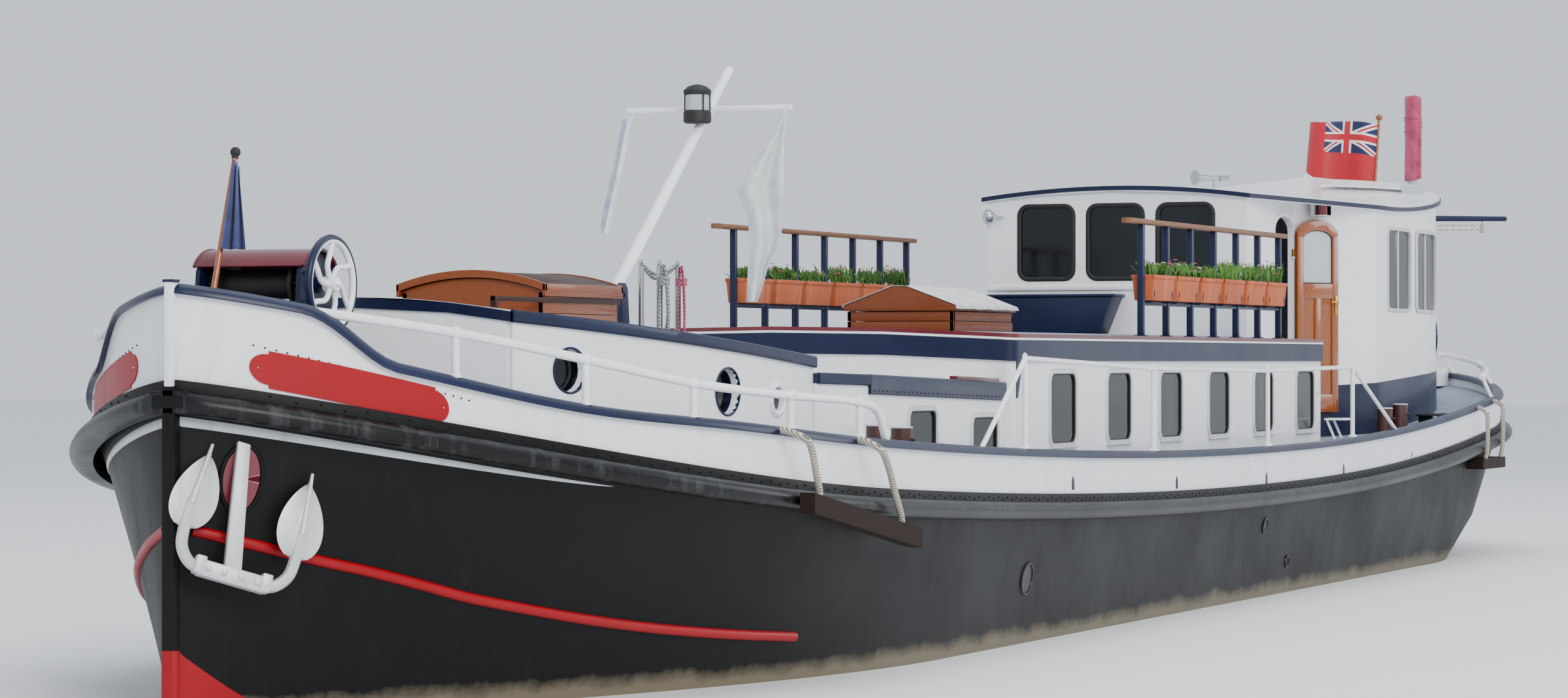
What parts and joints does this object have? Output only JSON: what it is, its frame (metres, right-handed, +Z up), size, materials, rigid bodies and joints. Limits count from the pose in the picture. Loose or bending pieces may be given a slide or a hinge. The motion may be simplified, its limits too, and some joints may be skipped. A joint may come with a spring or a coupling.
{
  "type": "Dutch canal barge",
  "caption": "Steel canal barge afloat: round bow, low fore trunk, long saloon with a sun deck, a wheelhouse aft and a raked mast.",
  "frame": {"origin": "on the waterline, on the centreline, half way along the deck", "axes": "+X to the bow, +Y to port, +Z up"},
  "size_m": [25.2374, 4.9996, 5.9222],
  "materials": {
    "hull_black": "weathered satin black, grey streaks",
    "deck_grey": "matte non-slip deck paint",
    "navy_paint": "gloss navy enamel",
    "white_paint": "gloss white enamel",
    "red_paint": "gloss red enamel",
    "silver_paint": "satin silver-white",
    "brown_paint": "gloss brown enamel",
    "stainless": "polished stainless tube",
    "bronze": "dull bronze",
    "varnished_wood": "varnished red-brown hardwood",
    "brown_wood": "tarred hardwood",
    "terracotta": "matte terracotta",
    "plants": "leaves and flowers",
    "rope": "braided rope",
    "cloth": "woven cloth",
    "glass": "dark window glass",
    "aluminium": "satin window frames",
    "black_rubber": "window gaskets"
  },
  "bodies": {
    "boat": {"hull_shell": "hull_black", "deck_fore": "deck_grey", "deck_after": "deck_grey", "cap_rail": "navy_paint", "bulwark": "white_paint", "rubbing_strake": "hull_black", "fore_trunk_side_port": "white_paint", "fore_trunk_side_starboard": "white_paint", "fore_trunk_roof": "navy_paint", "fore_trunk_front": "white_paint", "fore_trunk_after": "white_paint", "low_trunk_side_port": "white_paint", "low_trunk_side_starboard": "white_paint", "low_trunk_roof": "navy_paint", "saloon_side_port": "white_paint", "saloon_side_starboard": "white_paint", "saloon_roof": "deck_grey", "saloon_front": "white_paint", "saloon_after": "white_paint", "wheelhouse_roof": "white_paint", "wheelhouse_side_port": "white_paint", "wheelhouse_side_starboard": "white_paint", "wheelhouse_front": "white_paint", "wheelhouse_after": "white_paint", "stem_post": "white_paint", "stern_frame": "hull_black", "anchor": "silver_paint", "windlass_frame": "navy_paint", "jackstaff": "varnished_wood", "fore_handrail_port": "white_paint", "fore_handrail_starboard": "white_paint", "fore_bollard_port": "brown_paint", "fore_bollard_starboard": "brown_paint", "aft_bollard_port": "brown_paint", "aft_bollard_starboard": "brown_paint", "companion_coaming": "varnished_wood", "mast_tabernacle": "navy_paint", "skylight_coaming": "varnished_wood", "sun_rail_port": "navy_paint", "sun_rail_starboard": "navy_paint", "guard_rail_port": "white_paint", "guard_rail_starboard": "white_paint", "flue": "white_paint", "boom_post": "navy_paint", "stern_rail": "white_paint", "mid_fender_board": "brown_wood", "mid_fender_rope_1": "rope", "mid_fender_rope_2": "rope", "stern_fender_board": "brown_wood", "stern_fender_rope_1": "rope", "stern_fender_rope_2": "rope"},
    "propeller": {"propeller": "bronze"},
    "rudder": {"rudder": "hull_black"},
    "windlass_wheel": {"windlass_wheel": "white_paint"},
    "companion_slide": {"companion_slide": "varnished_wood"},
    "mast": {"mast": "white_paint"},
    "skylight_lid": {"skylight_lid": "varnished_wood"},
    "door_port": {"door_port": "varnished_wood"},
    "door_starboard": {"door_starboard": "varnished_wood"},
    "boom": {"boom": "navy_paint"}
  },
  "joints": [
    {"name": "propeller_spin", "type": "hinge", "parent": "boat", "child": "propeller", "pos_m": [-9.25, 0, -0.72], "axis": [1, 0, 0], "continuous": true},
    {"name": "rudder_turn", "type": "hinge", "parent": "boat", "child": "rudder", "pos_m": [-10, 0, -0.7], "axis": [0, 0, 1], "range_deg": [-35, 35]},
    {"name": "windlass_turn", "type": "hinge", "parent": "boat", "child": "windlass_wheel", "pos_m": [11.5, 0, 2.44], "axis": [0, 1, 0], "continuous": true},
    {"name": "companion_slide", "type": "slide", "parent": "boat", "child": "companion_slide", "axis": [1, 0, 0], "range_m": [0, 0.7]},
    {"name": "mast_swing", "type": "hinge", "parent": "boat", "child": "mast", "pos_m": [6.8, 0, 2.45], "axis": [0, 1, 0], "range_deg": [-35, 50]},
    {"name": "skylight_lid_hinge", "type": "hinge", "parent": "boat", "child": "skylight_lid", "pos_m": [0.9, -0.38, 2.4003], "axis": [1, 0, 0], "range_deg": [0, 60]},
    {"name": "door_port_hinge", "type": "hinge", "parent": "boat", "child": "door_port", "pos_m": [-5.715, 1.305, 2.4], "axis": [0, 0, 1], "range_deg": [-154, 0]},
    {"name": "door_starboard_hinge", "type": "hinge", "parent": "boat", "child": "door_starboard", "pos_m": [-5.715, -1.305, 2.4], "axis": [0, 0, 1], "range_deg": [-154, 0]},
    {"name": "boom_slew", "type": "hinge", "parent": "boat", "child": "boom", "pos_m": [-11.3, 0, 3.5], "axis": [0, 0, 1], "range_deg": [0, 118]}
  ]
}
